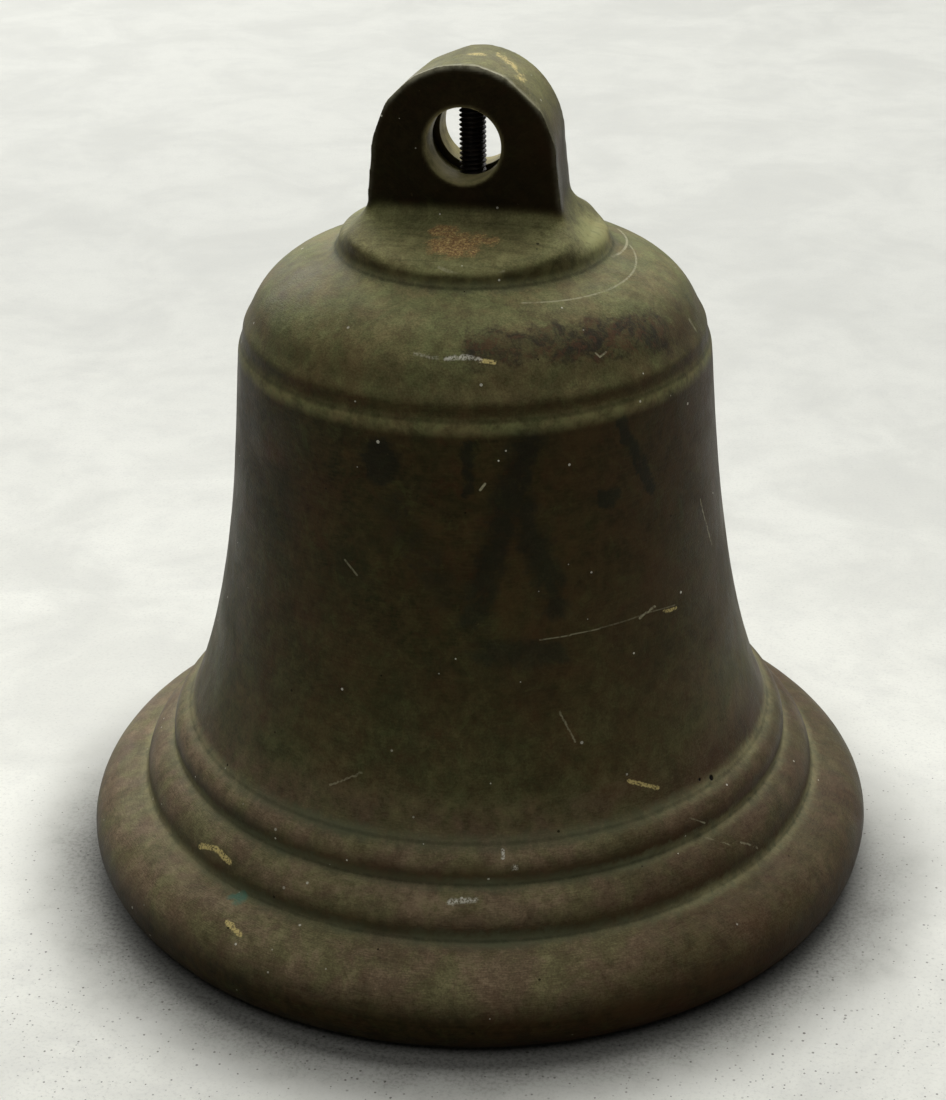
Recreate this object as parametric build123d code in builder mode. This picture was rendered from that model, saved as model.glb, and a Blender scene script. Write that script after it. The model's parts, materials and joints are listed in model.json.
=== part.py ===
from build123d import *
import os
from math import cos, sin, tan, pi, exp, radians, hypot

os.makedirs("parts", exist_ok=True)

# =====================================================================
#  Ship bell, 10 inch class.  Millimetres, +Z up.
#  Origin: centre of the flat rim the bell stands on.
#  The lug's cross bore runs along Y; the clapper swings in the XZ plane.
# =====================================================================

# ---- bell wall, outside ------------------------------------------------
lip_r = 127.0            # largest radius of the rolled lip
lip_roll_r = 15.2        # radius of the lip's rolled section
lip_roll_z = 12.9        # height of the roll's centre
foot_r_in = 104.5        # inner edge of the flat rim
crevice1 = (108.6, 29.2)     # lip / lower bead
crevice2 = (98.6, 42.0)      # lower bead / upper bead
crevice3 = (93.3, 52.5)      # upper bead / waist
bead_low_bulge = 3.3
bead_up_bulge = 2.7
waist_top = (71.6, 174.1)    # waist meets the ledge
waist_foot_slope = -0.39     # dr/dz just above the upper bead
waist_top_slope = -0.03
ledge_step = 1.6             # inward step from waist to shoulder
ledge_rise = 1.0
shoulder_z0 = 163.9          # where the shoulder curve would turn vertical
crown_z = 205.3              # top of the crown's dome
shoulder_exp = 3.19          # squareness of the shoulder curve

# ---- bell wall, inside -------------------------------------------------
crown_under_z = 195.5        # machined pad under the crown
crown_pad_r = 16.0
inner_pts = [(101.5, 12.0), (96.3, 27.0), (88.6, 41.0), (83.8, 53.0),
             (77.2, 76.0), (71.2, 105.0), (66.6, 140.0), (64.3, 165.0),
             (60.3, 180.5), (50.0, 190.4), (34.0, 194.2), (22.0, 194.9)]

# ---- boss and hanging lug ----------------------------------------------
boss_r = 40.3                # outer radius of the boss's rolled edge
boss_edge_r = 3.6            # rounding of that edge
boss_edge_z = 209.6          # top of the edge
lug_arch_r = 27.2            # round top of the lug, at its front face
lug_arch_z = 233.4           # centre of the round top
lug_foot_half = 30.6         # half width of the lug where it ends inside the boss
lug_foot_z = 200.4
lug_half_t = 14.0            # half thickness
lug_draft_deg = 3.3          # the lug narrows from its front face to its back
lug_edge_r = 1.6
# flare between lug and boss: height, half width, half depth, squareness
flare = [(220.6, 28.2, 13.7, 12.0), (217.5, 29.6, 18.8, 5.0), (214.0, 32.3, 26.4, 3.2),
         (211.6, 34.0, 31.6, 2.35), (209.6, 36.1, 36.1, 2.0),
         (206.5, 39.0, 39.0, 2.0)]
bore_z = 236.9
bore_r = 11.0
bore_groove_r = 13.3         # relief groove half way through the bore
bore_groove_half = 4.6

# ---- clapper suspension ------------------------------------------------
stud_r = 3.97                # 5/16 inch stud
stud_hole_r = 4.0
stud_top_z = 251.5
stud_hole_top_z = 252.5
stud_bot_z = 164.6
washer_od, washer_id, washer_t = 24.0, 8.4, 2.0
lock_od, lock_id, lock_t = 13.8, 8.2, 2.0
nut_af, nut_t = 12.7, 6.75
jam_t = 4.76
clevis_top_z = 176.0
clevis_body_r = 9.0
slot_roof_z = 163.0
pivot_z = 152.0
ear_r = 9.0
slot_half = 4.5
ear_out = 9.5
pin_r = 4.0
ear_hole_r = 4.03
tongue_hole_r = 4.06
tongue_half = 4.1
tongue_r = 8.4
pin_head_r, pin_head_t = 6.6, 2.6
pin_end_y = 15.6
cotter_y = 12.9
cotter_r = 0.72

# ---- clapper -----------------------------------------------------------
ball_r = 15.5
ball_z = 30.0
ball_flat = 14.4             # flats where the ball meets shoulder and tail nut
stem_r_top, stem_r_bot = 4.9, 5.6
collar_r, collar_t = 8.2, 3.0
spigot_r = 4.0
spigot_end_z = 9.2
tail_r, tail_t = 6.6, 4.6
tail_eye_z = 9.6
tail_eye_r = 5.6
tail_hole_r = 2.3
tail_pin_r = 1.0
tail_pin_z = 13.6


# =====================================================================
#  curves
# =====================================================================
def waist_points(n):
    """Waist from the upper bead up to the ledge: a flare that dies away."""
    r3, z3 = crevice3
    r4, z4 = waist_top
    a = r3 - r4 - waist_top_slope * (z3 - z4)
    lam = a / (waist_top_slope - waist_foot_slope)
    e1 = exp(-(z4 - z3) / lam)
    pts = []
    for i in range(n + 1):
        u = i / n
        z = z3 + (z4 - z3) * u ** 1.3
        e = exp(-(z - z3) / lam)
        pts.append((r4 + waist_top_slope * (z - z4) + a * (e - e1) / (1 - e1), z))
    return pts


def shoulder_points():
    """Squarish quarter curve from the ledge over to the crown's centre."""
    rs = waist_top[0] - ledge_step
    z5 = waist_top[1] + ledge_rise
    pts = [(rs, z5)]
    for deg in (22, 27, 33, 40, 48, 56, 64, 71, 77, 82, 86):
        t = radians(deg)
        r = rs * cos(t) ** (2 / shoulder_exp)
        z = shoulder_z0 + (crown_z - shoulder_z0) * sin(t) ** (2 / shoulder_exp)
        if z > z5 + 2.0:
            pts.append((r, z))
    pts.append((0.0, crown_z))
    return pts


def superellipse_points(a, b, n, count):
    """Closed ring of points, a rectangle with soft corners for a large n, an ellipse for 2."""
    pts = []
    for i in range(count):
        t = 2 * pi * i / count
        c, q = cos(t), sin(t)
        rad = (abs(c / a) ** n + abs(q / b) ** n) ** (-1 / n)
        pts.append((rad * c, rad * q))
    return pts


def bead_mid(a, b, bulge):
    """Middle point of a bead's arc between two crevices."""
    nx, nz = b[1] - a[1], -(b[0] - a[0])
    n = hypot(nx, nz)
    return ((a[0] + b[0]) / 2 + nx / n * bulge, (a[1] + b[1]) / 2 + nz / n * bulge)


roll_cr = lip_r - lip_roll_r
foot_r_out = roll_cr + (lip_roll_r ** 2 - lip_roll_z ** 2) ** 0.5
roll_top = (roll_cr + lip_roll_r * cos(radians(72)), lip_roll_z + lip_roll_r * sin(radians(72)))
roll_mid = (roll_cr + lip_roll_r * cos(radians(5)), lip_roll_z + lip_roll_r * sin(radians(5)))

# =====================================================================
#  lug blank: round-topped tab, drafted from its front face to its back
# =====================================================================
with BuildPart() as lug_blank:
    with BuildSketch(Plane(origin=(0, -lug_half_t, 0), x_dir=(-1, 0, 0), z_dir=(0, 1, 0))):
        with BuildLine():
            Line((-lug_foot_half, lug_foot_z), (-lug_arch_r, lug_arch_z))
            ThreePointArc((-lug_arch_r, lug_arch_z), (0, lug_arch_z + lug_arch_r), (lug_arch_r, lug_arch_z))
            Line((lug_arch_r, lug_arch_z), (lug_foot_half, lug_foot_z))
            Line((lug_foot_half, lug_foot_z), (-lug_foot_half, lug_foot_z))
        make_face()
    extrude(amount=2 * lug_half_t, taper=lug_draft_deg)
    rim_edges = [e for e in lug_blank.edges()
                 if e.center().Z > lug_foot_z + 4 and abs(abs(e.center().Y) - lug_half_t) < 0.01]
    fillet(rim_edges, radius=lug_edge_r)

# =====================================================================
#  flare: squarish at the lug, round at the boss
# =====================================================================
with BuildPart() as lug_flare:
    for fz, fa, fb, fn in flare:
        with BuildSketch(Plane.XY.offset(fz)):
            with BuildLine():
                Spline(*superellipse_points(fa, fb, fn, 64), periodic=True)
            make_face()
    loft()

# =====================================================================
#  bell casting: wall, mouldings, boss and lug in one piece of bronze
# =====================================================================
with BuildPart() as bell_casting:
    # solid outside form
    with BuildSketch(Plane.XZ):
        with BuildLine():
            Line((0, 0), (foot_r_out, 0))
            ThreePointArc((foot_r_out, 0), roll_mid, roll_top)
            Line(roll_top, crevice1)
            ThreePointArc(crevice1, bead_mid(crevice1, crevice2, bead_low_bulge), crevice2)
            ThreePointArc(crevice2, bead_mid(crevice2, crevice3, bead_up_bulge), crevice3)
            Spline(*waist_points(9))
            Line(waist_top, (waist_top[0] - ledge_step, waist_top[1] + ledge_rise))
            Spline(*shoulder_points(), tangents=[(-0.05, 1), (-1, 0)])
            Line((0, crown_z), (0, 0))
        make_face()
    revolve(axis=Axis.Z)
    # boss
    with BuildSketch(Plane.XZ):
        with BuildLine():
            Polyline((0, crown_z - 8), (boss_r + 0.6, crown_z - 8), (boss_r, boss_edge_z - boss_edge_r))
            ThreePointArc((boss_r, boss_edge_z - boss_edge_r),
                          (boss_r - boss_edge_r * 0.30, boss_edge_z - boss_edge_r * 0.30),
                          (boss_r - boss_edge_r, boss_edge_z))
            Polyline((boss_r - boss_edge_r, boss_edge_z), (0, boss_edge_z), (0, crown_z - 8))
        make_face()
    revolve(axis=Axis.Z)
    add(lug_flare.part)
    add(lug_blank.part)
    # hollow
    with BuildSketch(Plane.XZ):
        with BuildLine():
            Polyline((0, crown_under_z), (0, -5), (foot_r_in + 1.6, -5), (foot_r_in + 1.6, 0), (foot_r_in, 1.6))
            Spline((foot_r_in, 1.6), *inner_pts, tangents=[(-0.25, 1), (-1, 0.02)])
            Polyline(inner_pts[-1], (crown_pad_r, inner_pts[-1][1]), (crown_pad_r, crown_under_z), (0, crown_under_z))
        make_face()
    revolve(axis=Axis.Z, mode=Mode.SUBTRACT)
    # cross bore with its relief groove
    with BuildSketch(Plane.XZ):
        with Locations((0, bore_z)):
            Circle(bore_r)
    extrude(amount=30, both=True, mode=Mode.SUBTRACT)
    with BuildSketch(Plane.XZ):
        with Locations((0, bore_z)):
            Circle(bore_groove_r)
    extrude(amount=bore_groove_half, both=True, mode=Mode.SUBTRACT)
    # tapped hole for the stud, up through the crown and blind in the lug's top
    with BuildSketch(Plane.XY.offset(crown_under_z - 2)):
        Circle(stud_hole_r)
    extrude(amount=stud_hole_top_z - crown_under_z + 2, mode=Mode.SUBTRACT)
bell_casting.part.label = "bell_casting"
export_step(bell_casting.part, "parts/bell_casting.step")

# =====================================================================
#  suspension stud and its fastenings under the crown
# =====================================================================
with BuildPart() as threaded_stud:
    with BuildSketch(Plane.XY.offset(stud_bot_z)):
        Circle(stud_r)
    extrude(amount=stud_top_z - stud_bot_z)
    chamfer(threaded_stud.edges().filter_by(GeomType.CIRCLE), length=0.9)
threaded_stud.part.label = "threaded_stud"
export_step(threaded_stud.part, "parts/threaded_stud.step")

washer_z = crown_under_z - washer_t
with BuildPart() as crown_washer:
    with BuildSketch(Plane.XY.offset(washer_z)):
        Circle(washer_od / 2)
        Circle(washer_id / 2, mode=Mode.SUBTRACT)
    extrude(amount=washer_t)
    chamfer(crown_washer.edges().group_by(Axis.Z)[0].sort_by(SortBy.LENGTH)[-1], length=0.4)
crown_washer.part.label = "crown_washer"
export_step(crown_washer.part, "parts/crown_washer.step")

lock_z = washer_z - lock_t
with BuildPart() as crown_lock_washer:
    with BuildSketch(Plane.XY.offset(lock_z)):
        Circle(lock_od / 2)
        Circle(lock_id / 2, mode=Mode.SUBTRACT)
    extrude(amount=lock_t)
    # the washer's split, cut on the slant
    with BuildSketch(Plane.XZ.offset(-lock_od / 2 - 1)):
        with BuildLine():
            Polyline((-1.2, lock_z - 1), (-0.5, lock_z - 1), (1.2, lock_z + lock_t + 1), (0.5, lock_z + lock_t + 1), close=True)
        make_face()
    extrude(amount=lock_od / 2 + 0.8, mode=Mode.SUBTRACT)
crown_lock_washer.part.label = "crown_lock_washer"
export_step(crown_lock_washer.part, "parts/crown_lock_washer.step")

nut_corner = nut_af / 2 / cos(pi / 6)
nut_z = lock_z - nut_t
with BuildPart() as crown_nut:
    with BuildSketch(Plane.XY.offset(nut_z)):
        RegularPolygon(nut_corner, 6)
    extrude(amount=nut_t)
    # corners turned off at both faces
    with BuildSketch(Plane.XZ):
        with BuildLine():
            Polyline((0, nut_z), (nut_af / 2 - 0.1, nut_z), (nut_corner + 0.3, nut_z + 0.9),
                     (nut_corner + 0.3, nut_z + nut_t - 0.9), (nut_af / 2 - 0.1, nut_z + nut_t),
                     (0, nut_z + nut_t), close=True)
        make_face()
    revolve(axis=Axis.Z, mode=Mode.INTERSECT)
    with BuildSketch(Plane.XY.offset(nut_z - 1)):
        Circle(stud_hole_r)
    extrude(amount=nut_t + 2, mode=Mode.SUBTRACT)
crown_nut.part.label = "crown_nut"
export_step(crown_nut.part, "parts/crown_nut.step")

with BuildPart() as clevis_lock_nut:
    with BuildSketch(Plane.XY.offset(clevis_top_z)):
        RegularPolygon(nut_corner, 6, rotation=14)
    extrude(amount=jam_t)
    with BuildSketch(Plane.XZ):
        with BuildLine():
            Polyline((0, clevis_top_z), (nut_af / 2 - 0.1, clevis_top_z), (nut_corner + 0.3, clevis_top_z + 0.9),
                     (nut_corner + 0.3, clevis_top_z + jam_t - 0.9), (nut_af / 2 - 0.1, clevis_top_z + jam_t),
                     (0, clevis_top_z + jam_t), close=True)
        make_face()
    revolve(axis=Axis.Z, mode=Mode.INTERSECT)
    with BuildSketch(Plane.XY.offset(clevis_top_z - 1)):
        Circle(stud_hole_r)
    extrude(amount=jam_t + 2, mode=Mode.SUBTRACT)
clevis_lock_nut.part.label = "clevis_lock_nut"
export_step(clevis_lock_nut.part, "parts/clevis_lock_nut.step")

# ---- clevis: tapped body with two ears --------------------------------
with BuildPart() as clapper_clevis:
    with BuildSketch(Plane.XY.offset(slot_roof_z - 1)):
        Circle(clevis_body_r)
    extrude(amount=clevis_top_z - slot_roof_z + 1)
    # ears, rounded about the pin
    with BuildSketch(Plane.XZ.offset(-ear_out)):
        with BuildLine():
            Line((-ear_r, slot_roof_z + 3), (-ear_r, pivot_z))
            ThreePointArc((-ear_r, pivot_z), (0, pivot_z - ear_r), (ear_r, pivot_z))
            Line((ear_r, pivot_z), (ear_r, slot_roof_z + 3))
            Line((ear_r, slot_roof_z + 3), (-ear_r, slot_roof_z + 3))
        make_face()
    extrude(amount=2 * ear_out)
    with BuildSketch(Plane.XZ.offset(-slot_half)):
        with Locations((0, (slot_roof_z + pivot_z) / 2 - 12)):
            Rectangle(40, slot_roof_z - pivot_z + 24)
    extrude(amount=2 * slot_half, mode=Mode.SUBTRACT)
    with BuildSketch(Plane.XZ.offset(-ear_out - 1)):
        with Locations((0, pivot_z)):
            Circle(ear_hole_r)
    extrude(amount=2 * ear_out + 2, mode=Mode.SUBTRACT)
    with BuildSketch(Plane.XY.offset(slot_roof_z - 1)):
        Circle(stud_hole_r)
    extrude(amount=clevis_top_z - slot_roof_z + 2, mode=Mode.SUBTRACT)
    top_rim = clapper_clevis.edges().filter_by(GeomType.CIRCLE).group_by(Axis.Z)[-1].sort_by(SortBy.LENGTH)[-1]
    chamfer(top_rim, length=1.0)
clapper_clevis.part.label = "clapper_clevis"
export_step(clapper_clevis.part, "parts/clapper_clevis.step")

with BuildPart() as clevis_pin:
    with BuildSketch(Plane.XZ.offset(-pin_end_y)):
        with Locations((0, pivot_z)):
            Circle(pin_r)
    extrude(amount=pin_end_y + ear_out)
    with BuildSketch(Plane.XZ.offset(ear_out)):
        with Locations((0, pivot_z)):
            Circle(pin_head_r)
    extrude(amount=pin_head_t)
    ends = clevis_pin.edges().filter_by(GeomType.CIRCLE).group_by(Axis.Y)
    chamfer(ends[0], length=0.5)
    chamfer(ends[-1], length=0.7)
    # cross hole for the split pin
    with BuildSketch(Plane.XY.offset(pivot_z - 10)):
        with Locations((0, cotter_y)):
            Circle(2 * cotter_r + 0.08)
    extrude(amount=20, mode=Mode.SUBTRACT)
clevis_pin.part.label = "clevis_pin"
export_step(clevis_pin.part, "parts/clevis_pin.step")

with BuildPart() as pin_washer:
    with BuildSketch(Plane.XZ.offset(-ear_out - 1.5)):
        with Locations((0, pivot_z)):
            Circle(7.4)
            Circle(4.2, mode=Mode.SUBTRACT)
    extrude(amount=1.5)
    chamfer(pin_washer.edges().filter_by(GeomType.CIRCLE).sort_by(SortBy.LENGTH)[-2:], length=0.3)
pin_washer.part.label = "pin_washer"
export_step(pin_washer.part, "parts/pin_washer.step")

# ---- split pin: round eye above, two legs through the pin, ends spread --
eye_c = pivot_z + pin_r + 2.1
legs_bot = pivot_z - pin_r - 1.2
pin_cotter_ring = Location((0, cotter_y, eye_c), (90, 0, 0)) * Solid.make_torus(1.9, cotter_r)
with BuildPart() as pin_cotter:
    with BuildSketch(Plane.XY.offset(legs_bot)):
        with Locations((0, cotter_y)):
            Circle(2 * cotter_r)
    extrude(amount=eye_c - 1.6 - legs_bot)
    add(pin_cotter_ring)
    for s in (-1, 1):
        spread = Plane(origin=(0, cotter_y, legs_bot + cotter_r), z_dir=(s, 0, -0.75))
        with BuildSketch(spread):
            Circle(cotter_r)
        extrude(amount=5.6)
pin_cotter.part.label = "pin_cotter"
export_step(pin_cotter.part, "parts/pin_cotter.step")

# =====================================================================
#  clapper
# =====================================================================
seat_z = ball_z + ball_flat            # the ball's upper flat
collar_top = seat_z + collar_t
neck_z = pivot_z - 12.0
with BuildPart() as clapper_stem:
    # flat tongue, rounded about the pin
    with BuildSketch(Plane.XZ.offset(-tongue_half)):
        with BuildLine():
            ThreePointArc((-tongue_r, pivot_z), (0, pivot_z + tongue_r), (tongue_r, pivot_z))
            Line((tongue_r, pivot_z), (stem_r_top, neck_z - 4))
            Line((stem_r_top, neck_z - 4), (-stem_r_top, neck_z - 4))
            Line((-stem_r_top, neck_z - 4), (-tongue_r, pivot_z))
        make_face()
    extrude(amount=2 * tongue_half)
    # round shaft, collar and the spigot that the ball is threaded over
    with BuildSketch(Plane.XZ):
        with BuildLine():
            Polyline((0, neck_z), (stem_r_top - 1.2, neck_z), (stem_r_top, neck_z - 3), (stem_r_bot, collar_top + 4),
                     (collar_r, collar_top), (collar_r, seat_z), (spigot_r, seat_z),
                     (spigot_r, spigot_end_z + 3), (0, spigot_end_z + 3), (0, neck_z))
        make_face()
    revolve(axis=Axis.Z)
    with BuildSketch(Plane.XZ.offset(-tongue_half - 1)):
        with Locations((0, pivot_z)):
            Circle(tongue_hole_r)
    extrude(amount=2 * tongue_half + 2, mode=Mode.SUBTRACT)
    # hole for the tail's spring pin
    with BuildSketch(Plane.YZ.offset(-12)):
        with Locations((0, tail_pin_z)):
            Circle(tail_pin_r + 0.02)
    extrude(amount=24, mode=Mode.SUBTRACT)
clapper_stem.part.label = "clapper_stem"
export_step(clapper_stem.part, "parts/clapper_stem.step")

with BuildPart() as clapper_ball:
    with Locations((0, 0, ball_z)):
        Sphere(ball_r)
    with BuildSketch(Plane.XY.offset(ball_z - ball_flat)):
        Circle(40)
    extrude(amount=2 * ball_flat, mode=Mode.INTERSECT)
    with BuildSketch(Plane.XY.offset(ball_z - 30)):
        Circle(spigot_r + 0.02)
    extrude(amount=60, mode=Mode.SUBTRACT)
clapper_ball.part.label = "clapper_ball"
export_step(clapper_ball.part, "parts/clapper_ball.step")

# ---- tail eye: collar nut with a flat eye for a lanyard ---------------
tail_top = ball_z - ball_flat
with BuildPart() as tail_eye:
    with BuildSketch(Plane.XY.offset(tail_top - tail_t)):
        Circle(tail_r)
    extrude(amount=tail_t)
    chamfer(tail_eye.edges().filter_by(GeomType.CIRCLE).group_by(Axis.Z)[0], length=0.8)
    with BuildSketch(Plane.XZ.offset(-2.6)):
        with Locations((0, tail_eye_z)):
            Circle(tail_eye_r)
    extrude(amount=5.2)
    with BuildSketch(Plane.XZ.offset(-4)):
        with Locations((0, tail_eye_z - 1.2)):
            Circle(tail_hole_r)
    extrude(amount=8, mode=Mode.SUBTRACT)
    with BuildSketch(Plane.XY.offset(spigot_end_z + 2.9)):
        Circle(spigot_r + 0.02)
    extrude(amount=20, mode=Mode.SUBTRACT)
    with BuildSketch(Plane.YZ.offset(-12)):
        with Locations((0, tail_pin_z)):
            Circle(tail_pin_r + 0.02)
    extrude(amount=24, mode=Mode.SUBTRACT)
tail_eye.part.label = "tail_eye"
export_step(tail_eye.part, "parts/tail_eye.step")

with BuildPart() as tail_pin:
    with BuildSketch(Plane.YZ.offset(-tail_r)):
        with Locations((0, tail_pin_z)):
            Circle(tail_pin_r)
            Circle(tail_pin_r * 0.45, mode=Mode.SUBTRACT)
    extrude(amount=2 * tail_r)
    # the spring pin's slit
    with BuildSketch(Plane.XY.offset(tail_pin_z)):
        Rectangle(2 * tail_r + 2, 0.35)
    extrude(amount=2, mode=Mode.SUBTRACT)
tail_pin.part.label = "tail_pin"
export_step(tail_pin.part, "parts/tail_pin.step")

print("foot_r_out", round(foot_r_out, 2), "bell volume cm3", round(bell_casting.part.volume / 1000, 1))
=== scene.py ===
import json
import math
import bpy
import numpy as np
from mathutils import Matrix, Vector

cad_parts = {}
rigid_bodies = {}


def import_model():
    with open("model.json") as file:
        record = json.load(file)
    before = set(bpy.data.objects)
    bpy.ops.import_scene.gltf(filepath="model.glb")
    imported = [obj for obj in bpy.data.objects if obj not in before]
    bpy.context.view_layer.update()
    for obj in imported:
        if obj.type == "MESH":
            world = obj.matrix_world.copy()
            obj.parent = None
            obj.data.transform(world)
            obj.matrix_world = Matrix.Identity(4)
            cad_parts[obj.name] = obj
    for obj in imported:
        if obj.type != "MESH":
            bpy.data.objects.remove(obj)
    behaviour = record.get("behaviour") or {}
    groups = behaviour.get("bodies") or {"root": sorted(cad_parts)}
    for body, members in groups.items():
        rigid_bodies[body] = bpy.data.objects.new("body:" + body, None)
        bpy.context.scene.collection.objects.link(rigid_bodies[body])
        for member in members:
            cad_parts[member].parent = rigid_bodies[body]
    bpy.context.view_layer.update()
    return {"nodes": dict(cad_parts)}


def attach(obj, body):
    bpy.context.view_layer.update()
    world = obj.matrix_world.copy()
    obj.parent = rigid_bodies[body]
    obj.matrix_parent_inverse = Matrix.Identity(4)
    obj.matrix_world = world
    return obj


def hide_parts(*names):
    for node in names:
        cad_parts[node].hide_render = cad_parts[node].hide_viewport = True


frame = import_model()
MM = 0.001

# =====================================================================
#  camera
# =====================================================================
cam_data = bpy.data.cameras.new("camera")
cam_data.lens = 73.9
cam_data.sensor_width = 36.0
cam_data.clip_start = 0.02
cam_data.clip_end = 60.0
cam = bpy.data.objects.new("camera", cam_data)
bpy.context.scene.collection.objects.link(cam)
cam_right = Vector((0.977652, 0.209986, -0.01013))
cam_up = Vector((-0.084014, 0.434416, 0.896786))
cam_back = -Vector((-0.192713, 0.875893, -0.44235))
cam_m = Matrix((cam_right, cam_up, cam_back)).transposed().to_4x4()
cam_m.translation = Vector((0.136778, -0.627872, 0.418615))
cam.matrix_world = cam_m
bpy.context.scene.camera = cam


# =====================================================================
#  small helpers
# =====================================================================
def srgb(r, g, b):
    """An 8 bit display colour as linear values."""
    out = []
    for c in (r, g, b):
        c = c / 255
        out.append(c / 12.92 if c <= 0.04045 else ((c + 0.055) / 1.055) ** 2.4)
    return tuple(out) + (1.0,)


class Nodes:
    """Short calls for a material's node tree."""

    def __init__(self, name):
        self.mat = bpy.data.materials.new(name)
        self.mat.use_nodes = True
        self.t = self.mat.node_tree
        self.bsdf = self.t.nodes["Principled BSDF"]
        self.pos = self.n("ShaderNodeTexCoord").outputs["Object"]

    def n(self, kind, **props):
        node = self.t.nodes.new(kind)
        for k, v in props.items():
            setattr(node, k, v)
        return node

    def put(self, socket, value):
        if isinstance(value, bpy.types.NodeSocket):
            self.t.links.new(value, socket)
        elif isinstance(value, (tuple, list)) and len(value) == 3 and socket.type == "RGBA":
            socket.default_value = tuple(value) + (1.0,)
        else:
            socket.default_value = value

    def math(self, op, a, b=0.0, c=0.0, clamp=False):
        node = self.n("ShaderNodeMath", operation=op, use_clamp=clamp)
        self.put(node.inputs[0], a)
        self.put(node.inputs[1], b)
        if op in ("MULTIPLY_ADD", "COMPARE", "SMOOTH_MIN", "SMOOTH_MAX"):
            self.put(node.inputs[2], c)
        return node.outputs[0]

    def add(self, a, b): return self.math("ADD", a, b)
    def sub(self, a, b): return self.math("SUBTRACT", a, b)
    def mul(self, a, b): return self.math("MULTIPLY", a, b)
    def mx(self, a, b): return self.math("MAXIMUM", a, b)
    def mn(self, a, b): return self.math("MINIMUM", a, b)

    def vmath(self, op, a, b=(0, 0, 0), scale=None, out=0):
        node = self.n("ShaderNodeVectorMath", operation=op)
        self.put(node.inputs[0], a)
        if op != "SCALE":
            self.put(node.inputs[1], b)
        if scale is not None:
            self.put(node.inputs["Scale"], scale)
        return node.outputs[out]

    def noise(self, vec, scale, detail=3.0, rough=0.5, dist=0.0, lac=2.0, colour=False):
        node = self.n("ShaderNodeTexNoise")
        self.put(node.inputs["Vector"], vec)
        node.inputs["Scale"].default_value = scale
        node.inputs["Detail"].default_value = detail
        node.inputs["Roughness"].default_value = rough
        node.inputs["Lacunarity"].default_value = lac
        node.inputs["Distortion"].default_value = dist
        return node.outputs["Color" if colour else "Fac"]

    def voronoi(self, vec, scale, feature="F1", rand=1.0, out="Distance"):
        node = self.n("ShaderNodeTexVoronoi", feature=feature)
        self.put(node.inputs["Vector"], vec)
        node.inputs["Scale"].default_value = scale
        node.inputs["Randomness"].default_value = rand
        return node.outputs[out]

    def step(self, x, a, b, lo=0.0, hi=1.0, smooth=True):
        """Goes from lo at a to hi at b, held outside."""
        node = self.n("ShaderNodeMapRange", interpolation_type="SMOOTHSTEP" if smooth else "LINEAR")
        if a > b:
            a, b, lo, hi = b, a, hi, lo
        self.put(node.inputs["Value"], x)
        node.inputs["From Min"].default_value = a
        node.inputs["From Max"].default_value = b
        node.inputs["To Min"].default_value = lo
        node.inputs["To Max"].default_value = hi
        return node.outputs["Result"]

    def mix(self, fac, a, b, blend="MIX"):
        node = self.n("ShaderNodeMix", data_type="RGBA", blend_type=blend)
        node.clamp_factor = True
        self.put(node.inputs[0], fac)
        self.put(node.inputs[6], a)
        self.put(node.inputs[7], b)
        return node.outputs[2]

    def ramp(self, fac, stops):
        node = self.n("ShaderNodeValToRGB")
        cr = node.color_ramp
        while len(cr.elements) > 1:
            cr.elements.remove(cr.elements[-1])
        cr.elements[0].position, cr.elements[0].color = stops[0][0], stops[0][1]
        for p, c in stops[1:]:
            e = cr.elements.new(p)
            e.color = c
        self.put(node.inputs["Fac"], fac)
        return node.outputs["Color"]

    def attr(self, name):
        node = self.n("ShaderNodeAttribute", attribute_name=name)
        return node.outputs["Fac"]

    def line(self, p, a, b, width, soft=0.5):
        """1 on the straight run from a to b, fading over its edge."""
        a, b = Vector(a), Vector(b)
        ab = b - a
        rel = self.vmath("SUBTRACT", p, tuple(a))
        t = self.math("DIVIDE", self.vmath("DOT_PRODUCT", rel, tuple(ab), out=1), ab.length_squared, clamp=True)
        near = self.n("ShaderNodeVectorMath", operation="SCALE")
        near.inputs[0].default_value = tuple(ab)
        self.put(near.inputs["Scale"], t)
        d = self.vmath("LENGTH", self.vmath("SUBTRACT", rel, near.outputs[0]), out=1)
        return self.step(d, width, width * (1 - soft), 0, 1)

    def spot(self, p, centre, radii, soft=0.6):
        """1 inside an ellipsoid, fading out over its outer part."""
        rel = self.vmath("DIVIDE", self.vmath("SUBTRACT", p, centre), radii)
        return self.step(self.vmath("LENGTH", rel, out=1), 1.0, 1.0 - soft, 0, 1)

    def most(self, masks):
        out = masks[0]
        for m in masks[1:]:
            out = self.mx(out, m)
        return out

    def bump(self, height, distance, strength=1.0, normal=None):
        node = self.n("ShaderNodeBump")
        node.inputs["Strength"].default_value = strength
        node.inputs["Distance"].default_value = distance
        self.put(node.inputs["Height"], height)
        if normal is not None:
            self.put(node.inputs["Normal"], normal)
        return node.outputs["Normal"]


def new_object(name, verts, faces):
    me = bpy.data.meshes.new(name)
    me.from_pydata([tuple(v) for v in verts], [], faces)
    me.validate()
    o = bpy.data.objects.new(name, me)
    bpy.context.scene.collection.objects.link(o)
    return o


def apply_modifiers(o):
    dg = bpy.context.evaluated_depsgraph_get()
    dg.update()
    me = bpy.data.meshes.new_from_object(o.evaluated_get(dg))
    old = o.data
    o.modifiers.clear()
    o.data = me
    bpy.data.meshes.remove(old)


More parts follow.
